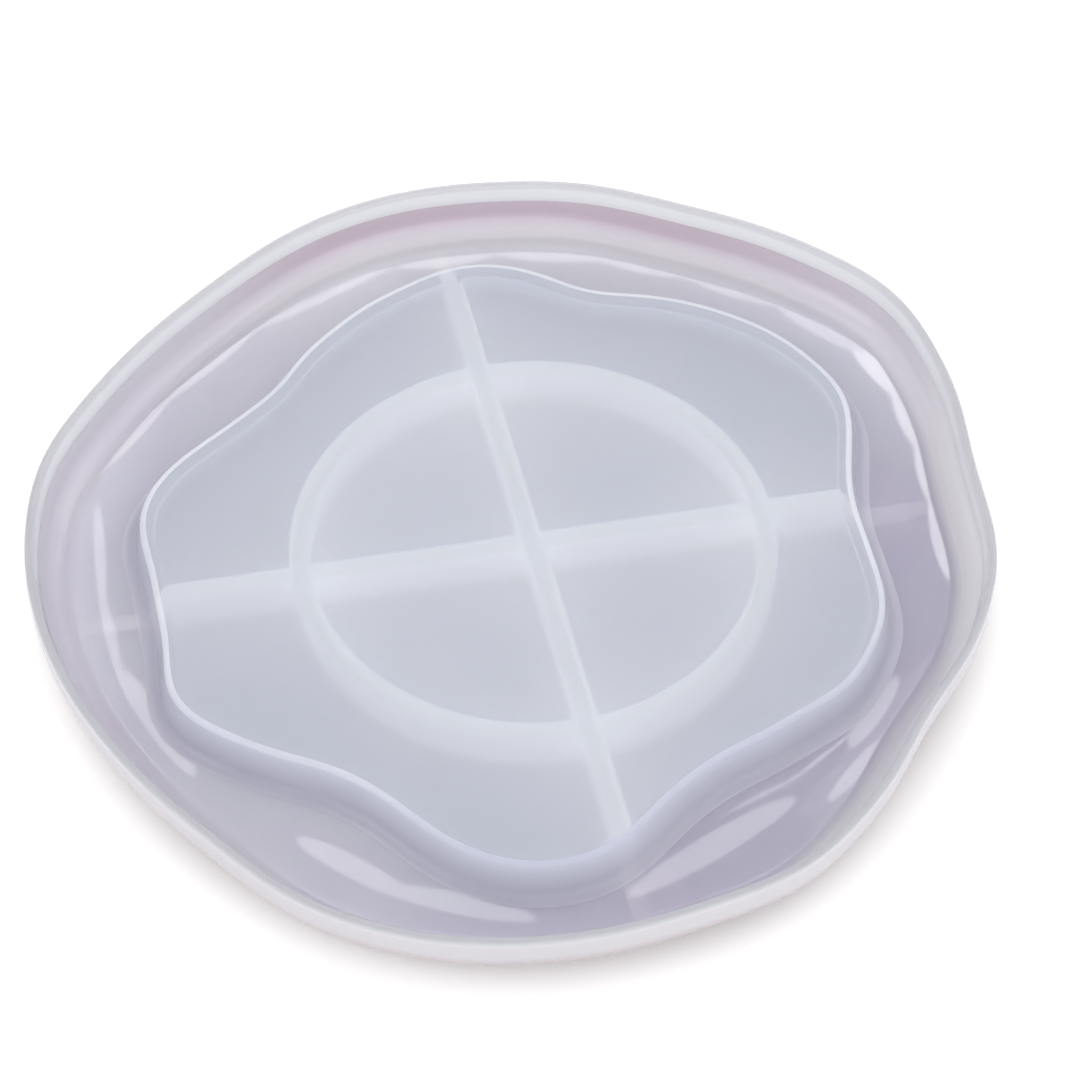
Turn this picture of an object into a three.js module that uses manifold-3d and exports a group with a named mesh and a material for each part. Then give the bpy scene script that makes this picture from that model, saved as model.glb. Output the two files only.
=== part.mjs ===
// Resin casting mould, in millimetres, +Z up.
//
// A free-form silicone tray. A raised deck with a wavy edge stands in the middle, a channel runs all
// the way round it, and a thin wall with a rounded lip closes the outside. A ring and a cross of ribs
// carry the deck from below, and the cross runs on under the channel as low foot ribs.
//
// The mould stands on its ribs, so z = 0 is their underside. The origin is the middle of the ring, and
// +X runs along the east rib. The real mould is one casting; each solid here is one region of it.

import Module from "manifold-3d";
import * as THREE from "three";
import { mergeVertices } from "three/addons/utils/BufferGeometryUtils.js";

const wasm = await Module();
wasm.setup();

// Heights above the surface that the mould stands on.
const FLOOR_UNDERSIDE = 2.4;
const FLOOR_TOP = 5.4;
const DECK_UNDERSIDE = 12;
const DECK_TOP = 15;
const RIM_TOP = 19;

// Outer wall: how thick its lip is, and the roundings outside and inside its foot.
const LIP_THICKNESS = 2.4;
const WALL_THICKNESS = 2.9;
const OUTER_ROUNDING = 10.5;
const CAVITY_FILLET = { run: 7.1, height: 8 };

// Plateau: its top edge, the slope of its side, its foot fillet and the draft of its hollow.
const DECK_EDGE_RADIUS = 0.8;
const SIDE_TOP = 0.6;
const SIDE_FOOT = 2.3;
const PLATEAU_FILLET = 3;
const HOLLOW_DRAFT = { top: -2.4, foot: 0.4 };

// Ribs and ring, with a little draft: wider at the deck than at the feet.
const RING_RADIUS = 59.6;
const RIB_TOP_WIDTH = 5;
const RIB_FOOT_WIDTH = 4.2;
const RIBS = { east: 0, north: 93, west: 180, south: 273 };

// Clearance between solids that meet on an upright or sloping face.
const GAP = 0.3;

// A fillet stops this far round, so that its toe isn't a feather edge.
const TOE_ANGLE = 80;

// Fineness of the outlines, the ring and the roundings.
const OUTLINE_STEPS = 120;
const RING_STEPS = 72;
const FILLET_STEPS = 6;
const ROUNDING_STEPS = 4;

// Outlines seen from above, as [angle in degrees, radius] of each crest, hollow and shoulder.
const RIM_OUTLINE = [
  [0, 116], [15, 122], [30, 128], [45, 126], [60, 124], [75, 126], [95, 127], [110, 126],
  [130, 123], [145, 125], [160, 129], [175, 128], [190, 125], [205, 122], [220, 121], [235, 124],
  [250, 124], [265, 122], [280, 120], [292, 120], [305, 116], [318, 112], [332, 115], [345, 117],
];
const DECK_OUTLINE = [
  [0, 83], [10, 88], [20, 95], [35, 96], [50, 93], [60, 90], [70, 88], [80, 94], [90, 98],
  [105, 94], [120, 89], [135, 85], [150, 92], [158, 98], [166, 100], [180, 96], [190, 97],
  [200, 101], [210, 96], [230, 86], [250, 96], [260, 99], [270, 96], [280, 87], [290, 82],
  [305, 84], [320, 90], [335, 90], [350, 84],
];

const rim = outline(RIM_OUTLINE);
const deckEdge = outline(DECK_OUTLINE);

// A closed smooth outline, as evenly spaced points with their outward directions.
function outline(corners) {
  const knots = corners.map(([angle, radius]) => {
    const turn = THREE.MathUtils.degToRad(angle);
    return new THREE.Vector3(radius * Math.cos(turn), radius * Math.sin(turn), 0);
  });
  const curve = new THREE.CatmullRomCurve3(knots, true, "centripetal");
  curve.arcLengthDivisions = 40 * knots.length;
  return Array.from({ length: OUTLINE_STEPS }, (_, step) => {
    const along = curve.getTangentAt(step / OUTLINE_STEPS);
    const outward = new THREE.Vector3(along.y, -along.x, 0);
    return { point: curve.getPointAt(step / OUTLINE_STEPS), outward };
  });
}

// Points around part of an ellipse in a section, from one angle to another, as [outward, z].
function arc([centreOut, centreZ], [radiusOut, radiusZ], from, to, steps) {
  return Array.from({ length: steps + 1 }, (_, step) => {
    const turn = THREE.MathUtils.degToRad(from + ((to - from) * step) / steps);
    return [centreOut + radiusOut * Math.cos(turn), centreZ + radiusZ * Math.sin(turn)];
  });
}

// Section points measured outward from one outline.
function along(path, section) {
  return section.map(([out, z]) => ({ path, out, z }));
}

// Vertices of every section point at every step around the outlines.
function sweepVertices(section) {
  const vertices = [];
  for (let step = 0; step < OUTLINE_STEPS; step += 1) {
    for (const { path, out, z } of section) {
      const { point, outward } = path[step];
      vertices.push(point.x + outward.x * out, point.y + outward.y * out, z);
    }
  }
  return vertices;
}

// Triangles between neighbouring section points, all the way round.
function sweepTriangles(count, spans) {
  const triangles = [];
  for (let step = 0; step < OUTLINE_STEPS; step += 1) {
    const here = step * count;
    const next = ((step + 1) % OUTLINE_STEPS) * count;
    for (let i = 0; i < spans; i += 1) {
      const j = (i + 1) % count;
      triangles.push(here + i, next + i, here + j, here + j, next + i, next + j);
    }
  }
  return triangles;
}

function geometryOf(vertices, triangles) {
  const geometry = new THREE.BufferGeometry();
  geometry.setAttribute("position", new THREE.Float32BufferAttribute(vertices, 3));
  geometry.setIndex(triangles);
  return geometry;
}

// A ring: a closed section, counter-clockwise with outward to the right, carried round its outlines.
function ringAround(section) {
  return geometryOf(sweepVertices(section), sweepTriangles(section.length, section.length));
}

// A disc: a section from bottom to top, carried round, with a flat face at each end.
function discWithin(section) {
  const count = section.length;
  const vertices = sweepVertices(section);
  const triangles = sweepTriangles(count, count - 1);
  const bottomCentre = vertices.length / 3;
  const topCentre = bottomCentre + 1;
  vertices.push(0, 0, section[0].z, 0, 0, section[count - 1].z);
  for (let step = 0; step < OUTLINE_STEPS; step += 1) {
    const here = step * count;
    const next = ((step + 1) % OUTLINE_STEPS) * count;
    triangles.push(bottomCentre, next, here);
    triangles.push(topCentre, here + count - 1, next + count - 1);
  }
  return geometryOf(vertices, triangles);
}

function solidOf(geometry) {
  const bare = geometry.clone();
  bare.deleteAttribute("normal");
  bare.deleteAttribute("uv");
  const merged = mergeVertices(bare);
  const vertProperties = new Float32Array(merged.attributes.position.array);
  const triVerts = new Uint32Array(merged.index.array);
  return new wasm.Manifold(new wasm.Mesh({ numProp: 3, vertProperties, triVerts }));
}

function geometryFrom(solid) {
  const { vertProperties, triVerts } = solid.getMesh();
  return geometryOf(vertProperties, Array.from(triVerts));
}

// How far outward of the deck's edge the plateau's side stands at a height.
function sideAt(z) {
  const sideTop = DECK_TOP - DECK_EDGE_RADIUS;
  const sideFoot = FLOOR_TOP + PLATEAU_FILLET;
  return THREE.MathUtils.mapLinear(z, sideFoot, sideTop, SIDE_FOOT, SIDE_TOP);
}

// How far outward of the deck's edge the wall of the hollow under the deck stands at a height.
function hollowAt(z) {
  return THREE.MathUtils.mapLinear(z, FLOOR_UNDERSIDE, DECK_UNDERSIDE, HOLLOW_DRAFT.foot, HOLLOW_DRAFT.top);
}

function ribWidthAt(z) {
  return THREE.MathUtils.mapLinear(z, 0, DECK_UNDERSIDE, RIB_FOOT_WIDTH, RIB_TOP_WIDTH);
}

// Outside rounding of the tray, as section points between two angles.
function outerRounding(from, to) {
  const centre = [-OUTER_ROUNDING, FLOOR_UNDERSIDE + OUTER_ROUNDING];
  return arc(centre, [OUTER_ROUNDING, OUTER_ROUNDING], from, to, ROUNDING_STEPS);
}

// Angle on the outside rounding at which the wall stands on the channel floor.
function roundingAngleAtFloor() {
  const drop = OUTER_ROUNDING - (FLOOR_TOP - FLOOR_UNDERSIDE);
  return -THREE.MathUtils.radToDeg(Math.asin(drop / OUTER_ROUNDING));
}

function outerWall() {
  const lip = LIP_THICKNESS / 2;
  const lipArc = arc([-lip, RIM_TOP - lip], [lip, lip], 0, 180, ROUNDING_STEPS);
  const { run, height } = CAVITY_FILLET;
  const fillet = arc(
    [-WALL_THICKNESS - run, FLOOR_TOP + height], [run, height], 0, -TOE_ANGLE, FILLET_STEPS);
  const [toeOut] = fillet[FILLET_STEPS];
  const outside = outerRounding(roundingAngleAtFloor(), 0);
  outside[0][1] = FLOOR_TOP;
  return ringAround(along(rim, [[toeOut, FLOOR_TOP], ...outside, ...lipArc, ...fillet]));
}

function channelFloor() {
  const underside = [[hollowAt(FLOOR_UNDERSIDE), FLOOR_UNDERSIDE]];
  const topside = [[hollowAt(FLOOR_TOP), FLOOR_TOP]];
  const outside = outerRounding(-90, roundingAngleAtFloor());
  outside[0][1] = FLOOR_UNDERSIDE;
  outside[ROUNDING_STEPS][1] = FLOOR_TOP;
  return ringAround([
    ...along(deckEdge, underside), ...along(rim, outside), ...along(deckEdge, topside),
  ]);
}

function plateauWall() {
  const footOut = SIDE_FOOT + PLATEAU_FILLET;
  const fillet = arc(
    [footOut, FLOOR_TOP + PLATEAU_FILLET], [PLATEAU_FILLET, PLATEAU_FILLET],
    180 + TOE_ANGLE, 180, FILLET_STEPS);
  return ringAround(along(deckEdge, [
    [hollowAt(FLOOR_TOP), FLOOR_TOP], [fillet[0][0], FLOOR_TOP], ...fillet,
    [sideAt(DECK_UNDERSIDE), DECK_UNDERSIDE], [hollowAt(DECK_UNDERSIDE), DECK_UNDERSIDE],
  ]));
}

function deck() {
  const centre = [SIDE_TOP - DECK_EDGE_RADIUS, DECK_TOP - DECK_EDGE_RADIUS];
  const edge = arc(centre, [DECK_EDGE_RADIUS, DECK_EDGE_RADIUS], 0, 90, ROUNDING_STEPS);
  return discWithin(along(deckEdge, [[sideAt(DECK_UNDERSIDE), DECK_UNDERSIDE], ...edge]));
}

function supportRing() {
  const foot = RIB_FOOT_WIDTH / 2;
  const top = RIB_TOP_WIDTH / 2;
  const section = [
    [RING_RADIUS - foot, 0], [RING_RADIUS + foot, 0],
    [RING_RADIUS + top, DECK_UNDERSIDE], [RING_RADIUS - top, DECK_UNDERSIDE],
    [RING_RADIUS - foot, 0],
  ];
  const points = section.map(([radius, z]) => new THREE.Vector2(radius, z));
  const ring = new THREE.LatheGeometry(points, RING_STEPS);
  return ring.rotateX(Math.PI / 2);
}

// A straight rib with its foot at z = 0, from one distance along +X to another, turned by an angle.
function ribBar(from, to, height, angle) {
  const foot = ribWidthAt(0) / 2;
  const top = ribWidthAt(height) / 2;
  const corners = [[-foot, 0], [foot, 0], [top, height], [-top, height]];
  const section = new THREE.Shape(corners.map(([across, z]) => new THREE.Vector2(across, z)));
  const bar = new THREE.ExtrudeGeometry(section, { depth: to - from, bevelEnabled: false });
  bar.rotateX(Math.PI / 2).rotateZ(Math.PI / 2).translate(from, 0, 0);
  return bar.rotateZ(THREE.MathUtils.degToRad(angle));
}

// The hollow under the deck as a solid, grown by a clearance, or shrunk by a negative one.
function hollow(clearance) {
  const bottom = -1;
  const top = DECK_UNDERSIDE + 1;
  return solidOf(discWithin(along(deckEdge, [
    [hollowAt(bottom) + clearance, bottom], [hollowAt(top) + clearance, top],
  ])));
}

// Everything inside the line where the tray's outside rounding meets its flat underside.
function flatUnderside() {
  return solidOf(discWithin(along(rim, [[-OUTER_ROUNDING, -1], [-OUTER_ROUNDING, FLOOR_TOP]])));
}

const ringInside = RING_RADIUS - RIB_TOP_WIDTH / 2 - GAP;
const ringOutside = RING_RADIUS + RIB_TOP_WIDTH / 2 + GAP;
const pastTheWall = 140;

function insideRing(bar) {
  const drum = new THREE.CylinderGeometry(ringInside, ringInside, 3 * DECK_UNDERSIDE, RING_STEPS);
  return geometryFrom(solidOf(bar).intersect(solidOf(drum.rotateX(Math.PI / 2))));
}

function innerRibAcross() {
  return insideRing(ribBar(-RING_RADIUS, RING_RADIUS, DECK_UNDERSIDE, RIBS.east));
}

function innerRib(angle) {
  const flank = RIB_TOP_WIDTH / 2;
  const skew = flank * Math.abs(Math.cos(THREE.MathUtils.degToRad(angle)));
  return insideRing(ribBar(flank + skew + GAP, RING_RADIUS, DECK_UNDERSIDE, angle));
}

function outerRib(angle) {
  const bar = solidOf(ribBar(ringOutside, pastTheWall, DECK_UNDERSIDE, angle));
  return geometryFrom(bar.intersect(hollow(-GAP)));
}

function footRib(angle) {
  const bar = solidOf(ribBar(ringOutside, pastTheWall, FLOOR_UNDERSIDE, angle));
  return geometryFrom(bar.subtract(hollow(0)).intersect(flatUnderside()));
}

const glossySilicone = new THREE.MeshStandardMaterial({ color: 0xcfcbd8, roughness: 0.15, metalness: 0 });
const frostedSilicone = new THREE.MeshStandardMaterial({ color: 0xc6cad7, roughness: 0.6, metalness: 0 });
const ribSilicone = new THREE.MeshStandardMaterial({ color: 0xdadde6, roughness: 0.5, metalness: 0 });

const mould = new THREE.Group();

function add(name, geometry, material) {
  const mesh = new THREE.Mesh(geometry, material);
  mesh.name = name;
  mould.add(mesh);
}

add("outer_wall", outerWall(), glossySilicone);
add("channel_floor", channelFloor(), glossySilicone);
add("plateau_wall", plateauWall(), glossySilicone);
add("deck", deck(), frostedSilicone);
add("support_ring", supportRing(), ribSilicone);
add("inner_rib_across", innerRibAcross(), ribSilicone);
add("inner_rib_north", innerRib(RIBS.north), ribSilicone);
add("inner_rib_south", innerRib(RIBS.south), ribSilicone);
for (const [side, angle] of Object.entries(RIBS)) {
  add(`outer_rib_${side}`, outerRib(angle), ribSilicone);
  add(`foot_rib_${side}`, footRib(angle), ribSilicone);
}

export default mould;
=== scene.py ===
# Resin casting mould: a one-piece tray of translucent milky silicone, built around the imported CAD.
# Everything is in metres, in the CAD's frame. Sizes come from the CAD nodes.

import math

import bmesh
import bpy
import numpy as np
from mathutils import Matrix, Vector


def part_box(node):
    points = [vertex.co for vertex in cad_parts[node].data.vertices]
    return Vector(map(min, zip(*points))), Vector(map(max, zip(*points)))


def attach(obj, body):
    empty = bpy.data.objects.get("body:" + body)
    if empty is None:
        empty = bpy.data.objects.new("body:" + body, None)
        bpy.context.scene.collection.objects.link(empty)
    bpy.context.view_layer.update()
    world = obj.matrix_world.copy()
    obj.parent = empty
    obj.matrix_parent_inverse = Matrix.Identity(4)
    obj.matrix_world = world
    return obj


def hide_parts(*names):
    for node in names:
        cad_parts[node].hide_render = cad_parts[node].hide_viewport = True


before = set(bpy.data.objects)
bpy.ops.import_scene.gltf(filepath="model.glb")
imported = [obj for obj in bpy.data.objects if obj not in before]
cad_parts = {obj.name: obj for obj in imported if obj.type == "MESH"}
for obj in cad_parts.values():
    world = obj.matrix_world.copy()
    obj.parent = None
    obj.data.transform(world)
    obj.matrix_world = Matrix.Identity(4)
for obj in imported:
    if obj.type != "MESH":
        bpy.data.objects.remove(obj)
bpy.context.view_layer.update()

MM = 0.001

# ---------------------------------------------------------------- levels and outlines from the CAD

FLOOR_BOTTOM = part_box("channel_floor")[0].z
FLOOR_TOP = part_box("channel_floor")[1].z
DECK_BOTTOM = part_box("deck")[0].z
DECK_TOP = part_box("deck")[1].z
RIM_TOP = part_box("outer_wall")[1].z

STEPS = 720
HARMONICS = 26
LEVEL_TOLERANCE = 0.02 * MM
TURNS = np.arange(STEPS) * 2 * math.pi / STEPS


def node_points(node):
    """The CAD node's vertices, one row each."""
    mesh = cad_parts[node].data
    points = np.empty(len(mesh.vertices) * 3, np.float32)
    mesh.vertices.foreach_get("co", points)
    return points.reshape(-1, 3).astype(float)


def outline(node, level):
    """The node's loop of vertices at one height, as a smooth closed line: points and outward directions."""
    points = node_points(node)
    points = points[abs(points[:, 2] - level) < LEVEL_TOLERANCE]
    radius = np.hypot(points[:, 0], points[:, 1])
    points, radius = points[radius > radius.max() / 2], radius[radius > radius.max() / 2]
    angle = np.arctan2(points[:, 1], points[:, 0]) % (2 * math.pi)
    order = np.argsort(angle)
    even = np.interp(TURNS, angle[order], radius[order], period=2 * math.pi)
    waves = np.fft.rfft(even)
    waves[HARMONICS:] = 0
    radius = np.fft.irfft(waves, STEPS)
    slope = np.fft.irfft(waves * 1j * np.arange(len(waves)), STEPS)
    out = np.stack([np.cos(TURNS), np.sin(TURNS)], 1)
    across = np.stack([-np.sin(TURNS), np.cos(TURNS)], 1)
    along = slope[:, None] * out + radius[:, None] * across
    along /= np.linalg.norm(along, axis=1)[:, None]
    return radius[:, None] * out, np.stack([along[:, 1], -along[:, 0]], 1)


CREST = outline("outer_wall", RIM_TOP)
DECK_LINE = outline("deck", DECK_TOP)

GLOSSY, OUTSIDE, OUTSIDE_FOOT, PLATEAU_SIDE, FROSTED, DECK_EDGE, UNDERSIDE, RIBS = range(8)

# Section sizes, measured outward from the lip's crest or from the deck's flat top.
LIP_RADIUS = 1.2 * MM
WALL_INSIDE = -1.7 * MM
CAVITY_RUN = 7.1 * MM
CAVITY_RISE = 8 * MM
OUTER_ROUNDING = 10.5 * MM
DECK_EDGE_RADIUS = 0.8 * MM
EDGE_BAND = -0.8 * MM
FLAT_MARGIN = 0.6 * MM
SIDE_FOOT = 2.5 * MM
PLATEAU_FILLET = 3 * MM
HOLLOW_TOP = -2.2 * MM
HOLLOW_FOOT = 0.6 * MM
HOLLOW_FILLET = 1.2 * MM
UNDERSIDE_FOOT_ROUNDING = 0.5 * MM
DISC_RINGS = 14


def arc(centre, radii, start, end, steps):
    """Section points around part of an ellipse, as (outward, z)."""
    angles = np.radians(np.linspace(start, end, steps + 1))
    return [(centre[0] + radii[0] * math.cos(a), centre[1] + radii[1] * math.sin(a)) for a in angles]


def section():
    """The casting's whole section from the middle of its underside to the middle of its deck.
    Rows are (outline, outward, z, shrink, finish): shrink pulls the row in towards the middle, and the
    finish is that of the strip from this row to the next."""
    rows = []

    def add(line, points, finish):
        rows.extend((line, out, z, 1.0, finish) for out, z in points)

    def disc(line, out, z, shrinks, finish):
        rows.extend((line, out, z, float(s), finish) for s in shrinks)

    shrinks = np.linspace(0, 1, DISC_RINGS + 1)[1:-1]
    disc(DECK_LINE, HOLLOW_TOP - HOLLOW_FILLET, DECK_BOTTOM, shrinks, UNDERSIDE)
    add(DECK_LINE, arc((HOLLOW_TOP - HOLLOW_FILLET, DECK_BOTTOM - HOLLOW_FILLET),
                       (HOLLOW_FILLET, HOLLOW_FILLET), 90, 10, 6), UNDERSIDE)
    e = UNDERSIDE_FOOT_ROUNDING
    add(DECK_LINE, arc((HOLLOW_FOOT + e, FLOOR_BOTTOM + e), (e, e), 180, 270, 4), UNDERSIDE)
    add(CREST, arc((LIP_RADIUS - OUTER_ROUNDING, FLOOR_BOTTOM + OUTER_ROUNDING),
                   (OUTER_ROUNDING, OUTER_ROUNDING), -90, 0, 18), OUTSIDE_FOOT)
    add(CREST, arc((0, RIM_TOP - LIP_RADIUS), (LIP_RADIUS, LIP_RADIUS), 0, 180, 14), OUTSIDE)
    toe = WALL_INSIDE - CAVITY_RUN
    add(CREST, arc((toe, FLOOR_TOP + CAVITY_RISE), (CAVITY_RUN, CAVITY_RISE), 0, -90, 18), GLOSSY)
    add(CREST, [(toe - FLAT_MARGIN, FLOOR_TOP)], GLOSSY)
    foot = SIDE_FOOT + PLATEAU_FILLET
    add(DECK_LINE, [(foot + FLAT_MARGIN, FLOOR_TOP)], PLATEAU_SIDE)
    add(DECK_LINE, arc((foot, FLOOR_TOP + PLATEAU_FILLET), (PLATEAU_FILLET, PLATEAU_FILLET), 270, 180, 10),
        PLATEAU_SIDE)
    add(DECK_LINE, arc((0, DECK_TOP - DECK_EDGE_RADIUS), (DECK_EDGE_RADIUS, DECK_EDGE_RADIUS), 0, 90, 8),
        DECK_EDGE)
    add(DECK_LINE, [(EDGE_BAND, DECK_TOP), (EDGE_BAND - FLAT_MARGIN, DECK_TOP)], FROSTED)
    disc(DECK_LINE, 0, DECK_TOP, shrinks[::-1], FROSTED)
    return rows


def mesh_object(name, vertices, faces, materials, slots):
    mesh = bpy.data.meshes.new(name)
    mesh.from_pydata([tuple(v) for v in vertices], [], faces)
    for material in materials:
        mesh.materials.append(material)
    mesh.polygons.foreach_set("material_index", slots)
    mesh.polygons.foreach_set("use_smooth", [True] * len(mesh.polygons))
    mesh.update()
    made = bpy.data.objects.new(name, mesh)
    bpy.context.scene.collection.objects.link(made)
    return made


def swept_rows(rows):
    """Vertices of the section's rows, all the way round, with the middles of the underside and deck last."""
    vertices = []
    for line, out, z, shrink, _ in rows:
        flat = (line[0] + line[1] * out) * shrink
        vertices.append(np.column_stack([flat, np.full(STEPS, z)]))
    return np.vstack(vertices + [[0, 0, rows[0][2]], [0, 0, rows[-1][2]]])


def tray_skin(materials):
    """Wall, channel, plateau side and deck as one closed skin."""
    rows = section()
    vertices = swept_rows(rows)
    faces, slots = [], []
    for r in range(len(rows) - 1):
        for i in range(STEPS):
            j = (i + 1) % STEPS
            faces.append((r * STEPS + i, r * STEPS + j, (r + 1) * STEPS + j, (r + 1) * STEPS + i))
            slots.append(rows[r][4])
    bottom = len(rows) * STEPS
    last = bottom - STEPS
    for i in range(STEPS):
        j = (i + 1) % STEPS
        faces += [(bottom, j, i), (bottom + 1, last + i, last + j)]
        slots += [UNDERSIDE, FROSTED]
    return mesh_object("silicone_casting", vertices, faces, materials, slots)


# Ribs. They run up into the deck and down the whole length of the cross, so that the union is one casting.

EMBED = 1 * MM
INTO_WALL = 1.7 * MM
RIB_EDGE = 0.4 * MM
RING_STEPS = 288
NORTH_RIB = math.radians(93)


def reach(node, angle, level, side):
    """How far along a direction the CAD node reaches at one height, on one side of that direction."""
    points = node_points(node)
    across = points[:, 1] * math.cos(angle) - points[:, 0] * math.sin(angle)
    points = points[(abs(points[:, 2] - level) < LEVEL_TOLERANCE) & (across * side > 0)]
    return float((points[:, 0] * math.cos(angle) + points[:, 1] * math.sin(angle)).max())


def half_width(node, level):
    """Half the width of a CAD rib that lies along X, at one height."""
    points = node_points(node)
    return float(points[abs(points[:, 2] - level) < LEVEL_TOLERANCE][:, 1].max())


FOOT_HALF = half_width("inner_rib_across", 0)
TOP_HALF = half_width("inner_rib_across", DECK_BOTTOM)


def soften(bm, edges):
    bmesh.ops.bevel(bm, geom=edges, offset=RIB_EDGE, segments=3, affect="EDGES", profile=0.5)


def rib_end(side_name, angle, side):
    """One end of a straight member, as (how far out, z) from its foot up to the deck."""
    shoulder = FLOOR_BOTTOM + EMBED
    foot = reach(f"foot_rib_{side_name}", angle, 0, side)
    low = reach(f"outer_rib_{side_name}", angle, 0, side) + INTO_WALL
    high = reach(f"outer_rib_{side_name}", angle, DECK_BOTTOM, side) + INTO_WALL
    return [(foot, 0), (foot, shoulder), (low, shoulder), (high, DECK_BOTTOM + EMBED)]


def bar(name, angle, ahead, behind):
    """One straight member of the cross, from the foot rib named behind to the one named ahead."""
    bm = bmesh.new()
    sides = []
    for side in (-1, 1):
        profile = rib_end(ahead, angle, side)
        profile += [(-out, z) for out, z in rib_end(behind, angle + math.pi, -side)[::-1]]
        loop = []
        for x, z in profile:
            y = side * (FOOT_HALF + (TOP_HALF - FOOT_HALF) * z / DECK_BOTTOM)
            loop.append(bm.verts.new((x * math.cos(angle) - y * math.sin(angle),
                                      x * math.sin(angle) + y * math.cos(angle), z)))
        sides.append(loop)
    near, far = sides
    count = len(near)
    bm.faces.new(near)
    bm.faces.new(far[::-1])
    for i in range(count):
        j = (i + 1) % count
        bm.faces.new((near[j], near[i], far[i], far[j]))
    bmesh.ops.recalc_face_normals(bm, faces=bm.faces)
    soften(bm, [e for e in bm.edges if all(v.co.z < LEVEL_TOLERANCE for v in e.verts)])
    return rib_object(name, bm)


def rib_object(name, bm):
    mesh = bpy.data.meshes.new(name)
    bmesh.ops.triangulate(bm, faces=[f for f in bm.faces if len(f.verts) > 4])
    bm.to_mesh(mesh)
    bm.free()
    made = bpy.data.objects.new(name, mesh)
    bpy.context.scene.collection.objects.link(made)
    return made


def ring(name):
    """The circular rib, with softened feet."""
    points = node_points("support_ring")
    radius = np.hypot(points[:, 0], points[:, 1])
    foot = radius[points[:, 2] < LEVEL_TOLERANCE]
    top = radius[points[:, 2] > DECK_BOTTOM - LEVEL_TOLERANCE]
    inner, outer, e = float(foot.min()), float(foot.max()), RIB_EDGE
    inner_top, outer_top = float(top.min()), float(top.max())
    up = DECK_BOTTOM + EMBED
    profile = arc((inner + e, e), (e, e), 180, 270, 3) + arc((outer - e, e), (e, e), 270, 360, 3)
    profile += [(outer_top, DECK_BOTTOM), (outer_top, up), (inner_top, up), (inner_top, DECK_BOTTOM)]
    bm = bmesh.new()
    loops = []
    for step in range(RING_STEPS):
        turn = 2 * math.pi * step / RING_STEPS
        loops.append([bm.verts.new((r * math.cos(turn), r * math.sin(turn), z)) for r, z in profile])
    for step in range(RING_STEPS):
        here, after = loops[step], loops[(step + 1) % RING_STEPS]
        for i in range(len(profile)):
            j = (i + 1) % len(profile)
            bm.faces.new((here[i], after[i], after[j], here[j]))
    bmesh.ops.recalc_face_normals(bm, faces=bm.faces)
    return rib_object(name, bm)


SHARP_ANGLE = math.radians(35)
NEEDLE = 0.002 * MM


def remove_needles(mesh):
    """Takes out the needle-thin faces that a union leaves where faces nearly meet."""
    bm = bmesh.new()
    bm.from_mesh(mesh)
    bmesh.ops.triangulate(bm, faces=[f for f in bm.faces if len(f.verts) > 4])
    bmesh.ops.dissolve_degenerate(bm, dist=NEEDLE, edges=bm.edges)
    bm.to_mesh(mesh)
    bm.free()


def fuse(skin, members, material):
    """Joins the members into the skin as one closed casting."""
    for member in members:
        member.data.materials.append(material)
        join = skin.modifiers.new(member.name, "BOOLEAN")
        join.operation = "UNION"
        join.solver = "MANIFOLD"
        join.object = member
    whole = bpy.data.meshes.new_from_object(skin.evaluated_get(bpy.context.evaluated_depsgraph_get()))
    remove_needles(whole)
    skin.modifiers.clear()
    skin.data = whole
    for member in members:
        bpy.data.objects.remove(member)
    whole.polygons.foreach_set("use_smooth", [True] * len(whole.polygons))
    whole.set_sharp_from_angle(angle=SHARP_ANGLE)


# ---------------------------------------------------------------- materials


def new_material(name):
    material = bpy.data.materials.new(name)
    material.use_nodes = True
    return material, material.node_tree, material.node_tree.nodes["Principled BSDF"].inputs


def link(tree, source, target):
    tree.links.new(source, target)


def place(tree):
    """Where a point is on the object, in metres."""
    return tree.nodes.new("ShaderNodeTexCoord").outputs["Object"]


def height(tree):
    split = tree.nodes.new("ShaderNodeSeparateXYZ")
    link(tree, place(tree), split.inputs[0])
    return split.outputs["Z"]


def towards(tree, x, y):
    """How far a point lies towards one side of the object, given as a direction."""
    node = tree.nodes.new("ShaderNodeVectorMath")
    node.operation = "DOT_PRODUCT"
    link(tree, place(tree), node.inputs[0])
    node.inputs[1].default_value = (x, y, 0)
    return node.outputs["Value"]


def distance_out(tree):
    """How far a point is from the middle of the object."""
    node = tree.nodes.new("ShaderNodeVectorMath")
    node.operation = "LENGTH"
    link(tree, place(tree), node.inputs[0])
    return node.outputs["Value"]


def spread(tree, value, low, high, to_low, to_high, smooth=True):
    """Maps a value from one range to another, without going past its ends."""
    node = tree.nodes.new("ShaderNodeMapRange")
    node.interpolation_type = "SMOOTHSTEP" if smooth else "LINEAR"
    node.inputs["From Min"].default_value = low
    node.inputs["From Max"].default_value = high
    node.inputs["To Min"].default_value = to_low
    node.inputs["To Max"].default_value = to_high
    link(tree, value, node.inputs["Value"])
    return node.outputs["Result"]


def noise(tree, size, detail=2):
    """Cloudy noise whose patches are about one size, in metres."""
    node = tree.nodes.new("ShaderNodeTexNoise")
    node.inputs["Scale"].default_value = 1 / size
    node.inputs["Detail"].default_value = detail
    link(tree, place(tree), node.inputs["Vector"])
    return node.outputs["Fac"]


def ramp(tree, value, stops):
    """Colours along a value: stops are (value, colour), lowest first."""
    low, high = stops[0][0], stops[-1][0]
    node = tree.nodes.new("ShaderNodeValToRGB")
    points = node.color_ramp.elements
    while len(points) < len(stops):
        points.new(0.5)
    for point, (at, colour) in zip(points, stops):
        point.position = (at - low) / (high - low)
        point.color = (*colour, 1)
    link(tree, spread(tree, value, low, high, 0, 1, smooth=False), node.inputs["Fac"])
    return node.outputs["Color"]


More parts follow.
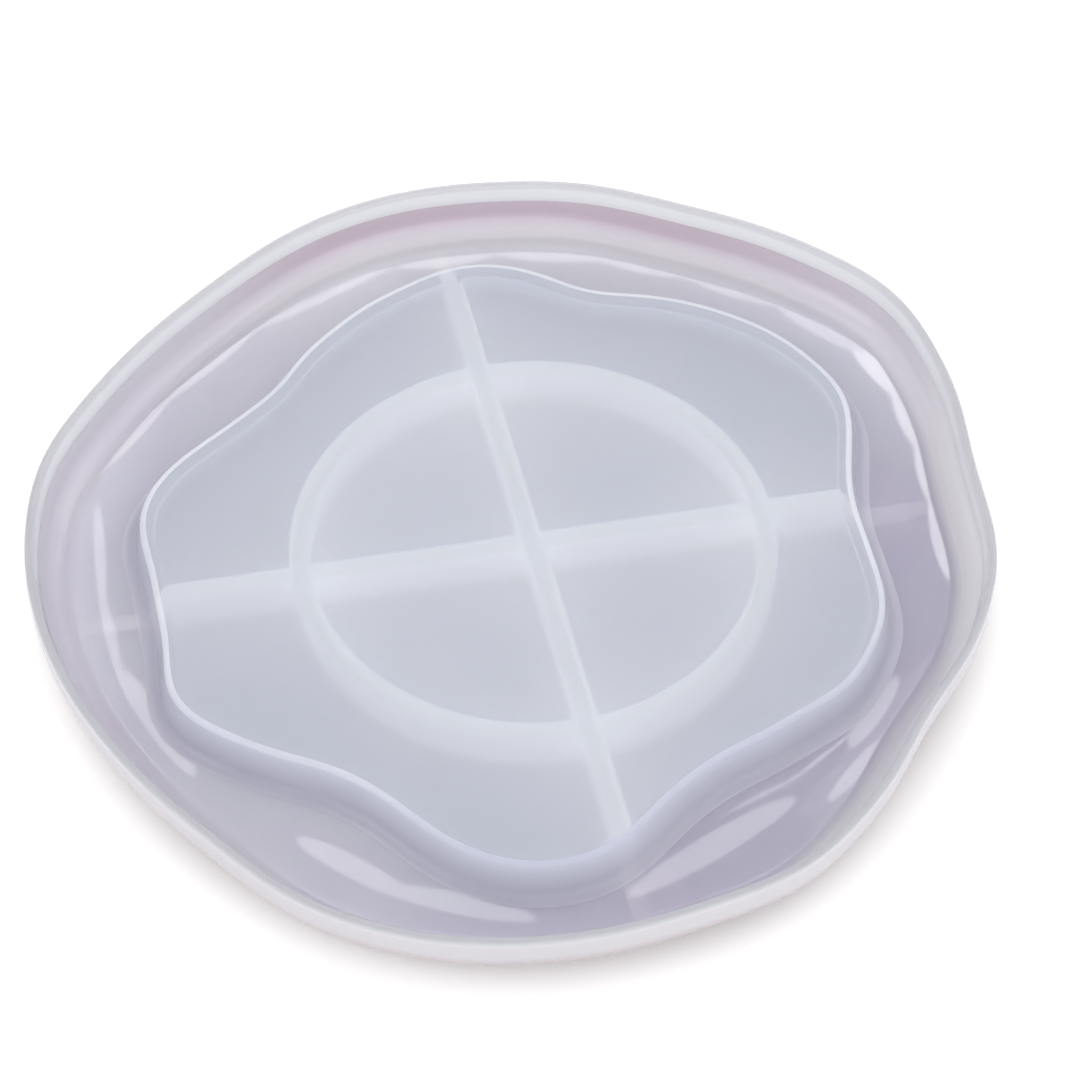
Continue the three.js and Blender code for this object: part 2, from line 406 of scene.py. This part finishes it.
def mix(tree, share, first, second, data_type="RGBA"):
    """Mixes two colours or numbers. The share and each end is a socket or a plain value."""
    node = tree.nodes.new("ShaderNodeMix")
    node.data_type = data_type
    kind = {"RGBA": "RGBA", "FLOAT": "VALUE"}[data_type]
    ends = [i for i in node.inputs if i.name in "AB" and i.type == kind]
    for end, value in [(node.inputs["Factor"], share), (ends[0], first), (ends[1], second)]:
        if isinstance(value, bpy.types.NodeSocket):
            link(tree, value, end)
        else:
            end.default_value = (*value, 1) if isinstance(value, tuple) else value
    return [o for o in node.outputs if o.type == kind][0]


def multiply(tree, first, second):
    node = tree.nodes.new("ShaderNodeMath")
    node.operation = "MULTIPLY"
    link(tree, first, node.inputs[0])
    link(tree, second, node.inputs[1])
    return node.outputs[0]


def bump(tree, shader, value, depth):
    """Raises the surface by up to a depth, in metres."""
    node = tree.nodes.new("ShaderNodeBump")
    node.inputs["Distance"].default_value = depth
    link(tree, value, node.inputs["Height"])
    link(tree, node.outputs["Normal"], shader["Normal"])


SCATTER_DISTANCE = 16 * MM
SILICONE_IOR = 1.41


def milky(shader):
    """Light wanders through the silicone and comes out near where it went in."""
    shader["IOR"].default_value = SILICONE_IOR
    shader["Subsurface Weight"].default_value = 1
    shader["Subsurface Radius"].default_value = (1, 1, 1)
    shader["Subsurface Scale"].default_value = SCATTER_DISTANCE


def silicone(name, colour, roughness, clear, coat):
    """Milky silicone. Seen from outside it scatters light and lets a share of it straight through;
    seen from inside its surface is clear, because the milkiness has been met already."""
    material, tree, s = new_material(name)
    milky(s)
    s["Base Color"].default_value = (*colour, 1)
    s["Roughness"].default_value = roughness
    s["Coat Weight"].default_value = coat
    s["Coat Roughness"].default_value = 0.02
    s["Coat IOR"].default_value = SILICONE_IOR
    inside = tree.nodes.new("ShaderNodeNewGeometry").outputs["Backfacing"]
    link(tree, mix(tree, inside, clear, 1.0, "FLOAT"), s["Transmission Weight"])
    return material, tree, s


# Painted shade by height: the wall darker than the channel floor, darkest at the lip's top.
CHANNEL_COOL_PAINTED_SHADE = [
    (5.4 * MM, (0.61, 0.595, 0.72)), (9 * MM, (0.47, 0.46, 0.53)), (16 * MM, (0.47, 0.475, 0.515)),
    (19 * MM, (0.36, 0.365, 0.39)),
]
# Far side: the floor painted paler as painted light, the wall darker and pinker as painted shade with a
# painted pink reflection.
CHANNEL_PINK_PAINTED_REFLECTION_AND_SHADE = [
    (5.4 * MM, (0.72, 0.71, 0.82)), (9 * MM, (0.40, 0.325, 0.39)), (16 * MM, (0.40, 0.33, 0.39)),
    (19 * MM, (0.31, 0.295, 0.325)),
]
# Near and right sides: the floor painted darker as painted shade, the wall painted paler as painted light.
CHANNEL_PALE_PAINTED_LIGHT_AND_SHADE = [
    (5.4 * MM, (0.50, 0.48, 0.61)), (6 * MM, (0.66, 0.66, 0.73)), (10 * MM, (0.70, 0.71, 0.75)),
    (16 * MM, (0.64, 0.65, 0.68)), (19 * MM, (0.46, 0.47, 0.49)),
]
CHANNEL_CLOUD = (0.50, 0.43, 0.60)
# Painted shade at the outside's foot: darker and warmer towards the floor.
FOOT_PAINTED_SHADE_COLOURS = [
    (6 * MM, (0.34, 0.29, 0.30)), (10 * MM, (0.39, 0.355, 0.37)), (12.9 * MM, (0.46, 0.45, 0.47)),
]
# Painted shade on the outside: darker low down and at the lip's top.
OUTSIDE_PAINTED_SHADE_COLOURS = [
    (12.9 * MM, (0.46, 0.45, 0.47)), (15 * MM, (0.54, 0.55, 0.58)), (17 * MM, (0.53, 0.54, 0.57)),
    (19 * MM, (0.29, 0.29, 0.315)),
]
# Painted light on the plateau's side: paler upwards, lifting the shade that falls on it.
SIDE_PAINTED_LIGHT_COLOURS = [(5.4 * MM, (0.58, 0.565, 0.69)), (9 * MM, (0.64, 0.645, 0.79)), (14 * MM, (0.67, 0.70, 0.86))]


def wavy(tree, shader):
    """The slight unevenness of a cast surface."""
    bump(tree, shader, noise(tree, 18 * MM, detail=1), 0.006 * MM)


def channel_silicone():
    """Inside of the wall and the channel: mauve low down, with mauve patches there that vary at random. Light
    and shade are painted into
    its colour by height and side: the wall is painted darker than the channel floor and darkest at the lip's
    top as painted shade; at the far side the floor is painted paler as painted light and the wall pinker as a
    painted pink reflection; on the near and right sides the wall is painted paler as painted light, above a
    floor painted darker as painted shade."""
    material, tree, s = silicone("channel_silicone", (0.8, 0.8, 0.9), 0.25, 0.35, 1)
    split = tree.nodes.new("ShaderNodeSeparateXYZ")
    link(tree, place(tree), split.inputs[0])
    # The far side, where the painted pink reflection and shade go.
    far = spread(tree, split.outputs["Y"], 50 * MM, 112 * MM, 0.1, 1)
    right = spread(tree, split.outputs["X"], -85 * MM, -30 * MM, 0.1, 1)
    far = multiply(tree, far, right)
    cool = ramp(tree, height(tree), CHANNEL_COOL_PAINTED_SHADE)
    pink = ramp(tree, height(tree), CHANNEL_PINK_PAINTED_REFLECTION_AND_SHADE)
    tint = mix(tree, far, cool, pink)
    # Towards the near and right sides, where the painted light on the wall and the painted shade on the floor
    # go.
    near = spread(tree, towards(tree, 0.6, -0.8), 20 * MM, 75 * MM, 0, 1)
    tint = mix(tree, near, tint, ramp(tree, height(tree), CHANNEL_PALE_PAINTED_LIGHT_AND_SHADE))
    cloud = spread(tree, noise(tree, 55 * MM), 0.45, 0.65, 0, 0.35)
    low = spread(tree, height(tree), 6 * MM, 9 * MM, 1, 0)
    link(tree, mix(tree, multiply(tree, cloud, low), tint, CHANNEL_CLOUD), s["Base Color"])
    wavy(tree, s)
    return material


def outside_silicone():
    """Outside of the wall and the lip, painted darker low down and at the lip's top as painted shade."""
    material, tree, s = silicone("outside_silicone", (0.8, 0.8, 0.9), 0.25, 0.02, 1)
    link(tree, ramp(tree, height(tree), OUTSIDE_PAINTED_SHADE_COLOURS), s["Base Color"])
    wavy(tree, s)
    return material


def foot_silicone():
    """Rounded foot of the outside, duller than the rest, and painted darker and warmer towards the floor as
    painted shade.
    """
    material, tree, s = silicone("outside_foot_silicone", (0.4, 0.3, 0.3), 0.5, 0.0, 0)
    s["Specular IOR Level"].default_value = 0.1
    link(tree, ramp(tree, height(tree), FOOT_PAINTED_SHADE_COLOURS), s["Base Color"])
    wavy(tree, s)
    return material


def side_silicone():
    """The plateau's side: glossy, and as cool as the deck at its top; painted paler upwards as painted light
    over the shade that falls on it.
    """
    material, tree, s = silicone("side_silicone", (0.8, 0.8, 0.9), 0.25, 0.2, 0.7)
    link(tree, ramp(tree, height(tree), SIDE_PAINTED_LIGHT_COLOURS), s["Base Color"])
    wavy(tree, s)
    return material


def frosted_silicone():
    """The deck: an even, fine, matt frost."""
    material, tree, s = silicone("frosted_silicone", (0.73, 0.775, 0.93), 0.16, 0.45, 0)
    cloud = spread(tree, noise(tree, 40 * MM), 0.3, 0.7, 0, 1)
    link(tree, mix(tree, cloud, (0.66, 0.705, 0.865), (0.68, 0.725, 0.885)), s["Base Color"])
    s["Specular IOR Level"].default_value = 0.2
    grain = noise(tree, 0.6 * MM)
    link(tree, spread(tree, grain, 0.3, 0.7, 0.14, 0.18), s["Roughness"])
    return material


def edge_silicone():
    """The deck's rounded edge, which catches the light all the way round; its colour is painted darker
    towards the near side as painted shade.
    """
    material, tree, s = silicone("deck_edge_silicone", (0.90, 0.92, 1.0), 0.3, 0.1, 0.3)
    cloud = spread(tree, noise(tree, 30 * MM), 0.35, 0.65, 0, 1)
    tint = mix(tree, cloud, (0.60, 0.63, 0.75), (0.68, 0.71, 0.82))
    # Painted shade: the edge darker towards the near side.
    near = spread(tree, towards(tree, 0.3, -0.95), 30 * MM, 90 * MM, 0, 1)
    link(tree, mix(tree, near, tint, (0.50, 0.53, 0.65)), s["Base Color"])
    return material


def underside_silicone():
    material, tree, s = silicone("underside_silicone", (0.78, 0.80, 0.90), 0.3, 0.35, 0.3)
    bump(tree, s, noise(tree, 2 * MM), 0.03 * MM)
    return material


# Painted glow of the ribs: emission standing in for light carried down from the deck.
RIB_PAINTED_GLOW_INSIDE = 0.14
RIB_PAINTED_GLOW_FLANK = 0.3
NO_PAINTED_GLOW_HEIGHT = -12 * MM
FULL_PAINTED_GLOW_HEIGHT = 8 * MM
RIB_PAINTED_GLOW_END_FADE = (96 * MM, 104 * MM)


def rib_silicone():
    """The ribs: thick enough to be milky right through. A painted glow, given off by their surface, stands in
    for light from the deck
    carried down inside them: it is even inside them and fades down their flanks and towards their outer ends."""
    material, tree, s = new_material("rib_silicone")
    milky(s)
    s["Base Color"].default_value = (0.86, 0.86, 0.83, 1)
    s["Roughness"].default_value = 0.4
    s["Emission Color"].default_value = (0.98, 0.96, 0.88, 1)
    # Painted glow on the ribs' outside, fading downwards and towards their ends; inside them an even painted
    # glow.
    flank_painted_glow = spread(tree, height(tree), NO_PAINTED_GLOW_HEIGHT, FULL_PAINTED_GLOW_HEIGHT, 0, RIB_PAINTED_GLOW_FLANK)
    flank_painted_glow = multiply(tree, flank_painted_glow, spread(tree, distance_out(tree), *RIB_PAINTED_GLOW_END_FADE, 1, 0))
    inside = tree.nodes.new("ShaderNodeNewGeometry").outputs["Backfacing"]
    link(tree, mix(tree, inside, flank_painted_glow, RIB_PAINTED_GLOW_INSIDE, "FLOAT"), s["Emission Strength"])
    bump(tree, s, noise(tree, 2 * MM), 0.03 * MM)
    return material


materials = [
    channel_silicone(), outside_silicone(), foot_silicone(), side_silicone(), frosted_silicone(),
    edge_silicone(), underside_silicone(), rib_silicone(),
]

casting = tray_skin(materials)
members = [ring("ring"), bar("cross_east_west", 0, "east", "west"),
           bar("cross_north_south", NORTH_RIB, "north", "south")]
fuse(casting, members, materials[RIBS])
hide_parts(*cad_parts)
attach(casting, "root")

# ---------------------------------------------------------------- stage, lights and camera


def look_at(obj, target):
    obj.rotation_euler = (Vector(target) - obj.location).to_track_quat("-Z", "Y").to_euler()


FLOOR_SIZE = 8
FLOOR_GAP = 0.05 * MM
FLOOR_GLOW = 0.3
FLOOR_GLOW_REACH = (104 * MM, 130 * MM)


def stage():
    """A pale floor that gives off a little light, but only outside the object's foot."""
    bpy.ops.mesh.primitive_plane_add(size=FLOOR_SIZE, location=(0, 0, -FLOOR_GAP))
    floor = bpy.context.object
    floor.name = "floor"
    material, tree, s = new_material("floor_white")
    s["Base Color"].default_value = (0.9, 0.9, 0.9, 1)
    s["Roughness"].default_value = 0.7
    s["Emission Color"].default_value = (1, 1, 1, 1)
    glow = spread(tree, distance_out(tree), *FLOOR_GLOW_REACH, 0, FLOOR_GLOW)
    link(tree, glow, s["Emission Strength"])
    floor.data.materials.append(material)


def area(name, spot, size, power, colour):
    """A soft rectangular lamp, aimed at the middle of the object."""
    light = bpy.data.lights.new(name, "AREA")
    light.shape = "RECTANGLE"
    light.size, light.size_y = size
    light.energy = power
    light.color = colour
    lamp = bpy.data.objects.new(name, light)
    lamp.location = spot
    bpy.context.scene.collection.objects.link(lamp)
    look_at(lamp, (0, 0, 0))


CAMERA_AZIMUTH = math.radians(-10.55)
CAMERA_ELEVATION = math.radians(50.6)
CAMERA_DISTANCE = 0.744
CAMERA_TARGET = Vector((0.0017, -0.0002, 0.0131))
CAMERA_LENS = 97.5
CAMERA_SENSOR = 36


def camera():
    level = math.cos(CAMERA_ELEVATION)
    look = Vector((-math.sin(CAMERA_AZIMUTH) * level, math.cos(CAMERA_AZIMUTH) * level,
                   -math.sin(CAMERA_ELEVATION)))
    data = bpy.data.cameras.new("camera")
    data.lens = CAMERA_LENS
    data.sensor_width = CAMERA_SENSOR
    cam = bpy.data.objects.new("camera", data)
    cam.location = CAMERA_TARGET - look * CAMERA_DISTANCE
    bpy.context.scene.collection.objects.link(cam)
    look_at(cam, CAMERA_TARGET)
    bpy.context.scene.camera = cam
    return cam


GLINT_HEIGHT = 1.0
GLINT_OVERLAP = 1.25

# Streaks of light in the channel: name, width in mm, radiance, and the angles and radii (mm) that each
# one runs through.
GLINTS = [
    ("far", 9, 4, [(98, 113), (85, 113), (70, 112), (57, 112), (43, 115), (30, 116)]),
    ("right", 7, 8, [(30, 116), (20, 114), (10, 110), (0, 107), (-13, 107)]),
    ("right_tail", 3, 6, [(-17, 108), (-28, 108)]),
    ("corner_inner", 5, 5, [(327, 98), (312, 97)]),
    ("corner_outer", 4, 5, [(317, 103), (303, 103)]),
    ("near_line", 1, 6, [(314, 95), (303, 93), (292, 91)]),
    ("near_right", 7, 4.5, [(300, 97), (272, 104)]),
    ("near_left", 6, 4.5, [(228, 102), (242, 105), (258, 107)]),
    ("left_near", 6, 4.5, [(188, 109), (209, 106)]),
    ("left", 3, 4, [(162, 114), (176, 110), (188, 109)]),
    ("far_left", 6, 5, [(155, 119), (140, 114), (122, 113)]),
    ("far_left_thin", 3, 4, [(124, 112), (100, 113)]),
]


def seen_in_channel(eye, angle, radius):
    """Where a lamp hangs whose mirror image in the channel floor is at an angle and a radius."""
    turn = math.radians(angle)
    point = Vector((radius * MM * math.cos(turn), radius * MM * math.sin(turn), FLOOR_TOP))
    away = point - eye
    return point + Vector((away.x, away.y, -away.z)) * (GLINT_HEIGHT - FLOOR_TOP) / (eye.z - FLOOR_TOP)


def glints(eye):
    """Small oval lamps, one for each stretch of each streak."""
    grow = (GLINT_HEIGHT + eye.z) / eye.z
    for name, width, radiance, run in GLINTS:
        places = [seen_in_channel(eye, angle, radius) for angle, radius in run]
        for number, (start, end) in enumerate(zip(places, places[1:])):
            along = end - start
            overlap = GLINT_OVERLAP if len(run) > 2 else 1
            light = bpy.data.lights.new(f"glint_{name}_{number}", "AREA")
            light.shape = "ELLIPSE"
            light.size, light.size_y = along.length * overlap, width * MM * grow
            light.energy = radiance * math.pi * math.pi / 4 * light.size * light.size_y
            lamp = bpy.data.objects.new(light.name, light)
            lamp.location = (start + end) / 2
            lamp.rotation_euler = (0, 0, math.atan2(along.y, along.x))
            bpy.context.scene.collection.objects.link(lamp)


WORLD_STRENGTH = 0.9

stage()
eye = camera().location
area("key", (-0.3, 0.8, 1.2), (1.0, 0.7), 1.5, (1, 1, 1))
area("left", (-1.0, -0.1, 0.8), (0.6, 0.6), 1.2, (1, 0.97, 1))
area("right", (0.73, 0.34, 0.89), (0.9, 0.7), 2, (1, 0.98, 1))
area("front", (0.2, -1.1, 0.6), (1.6, 1.1), 3.5, (1, 0.96, 1))
glints(eye)
world = bpy.data.worlds.new("studio")
world.use_nodes = True
background = world.node_tree.nodes["Background"].inputs
background["Color"].default_value = (1, 1, 1, 1)
background["Strength"].default_value = WORLD_STRENGTH
bpy.context.scene.world = world
bpy.context.scene.view_settings.view_transform = "Standard"
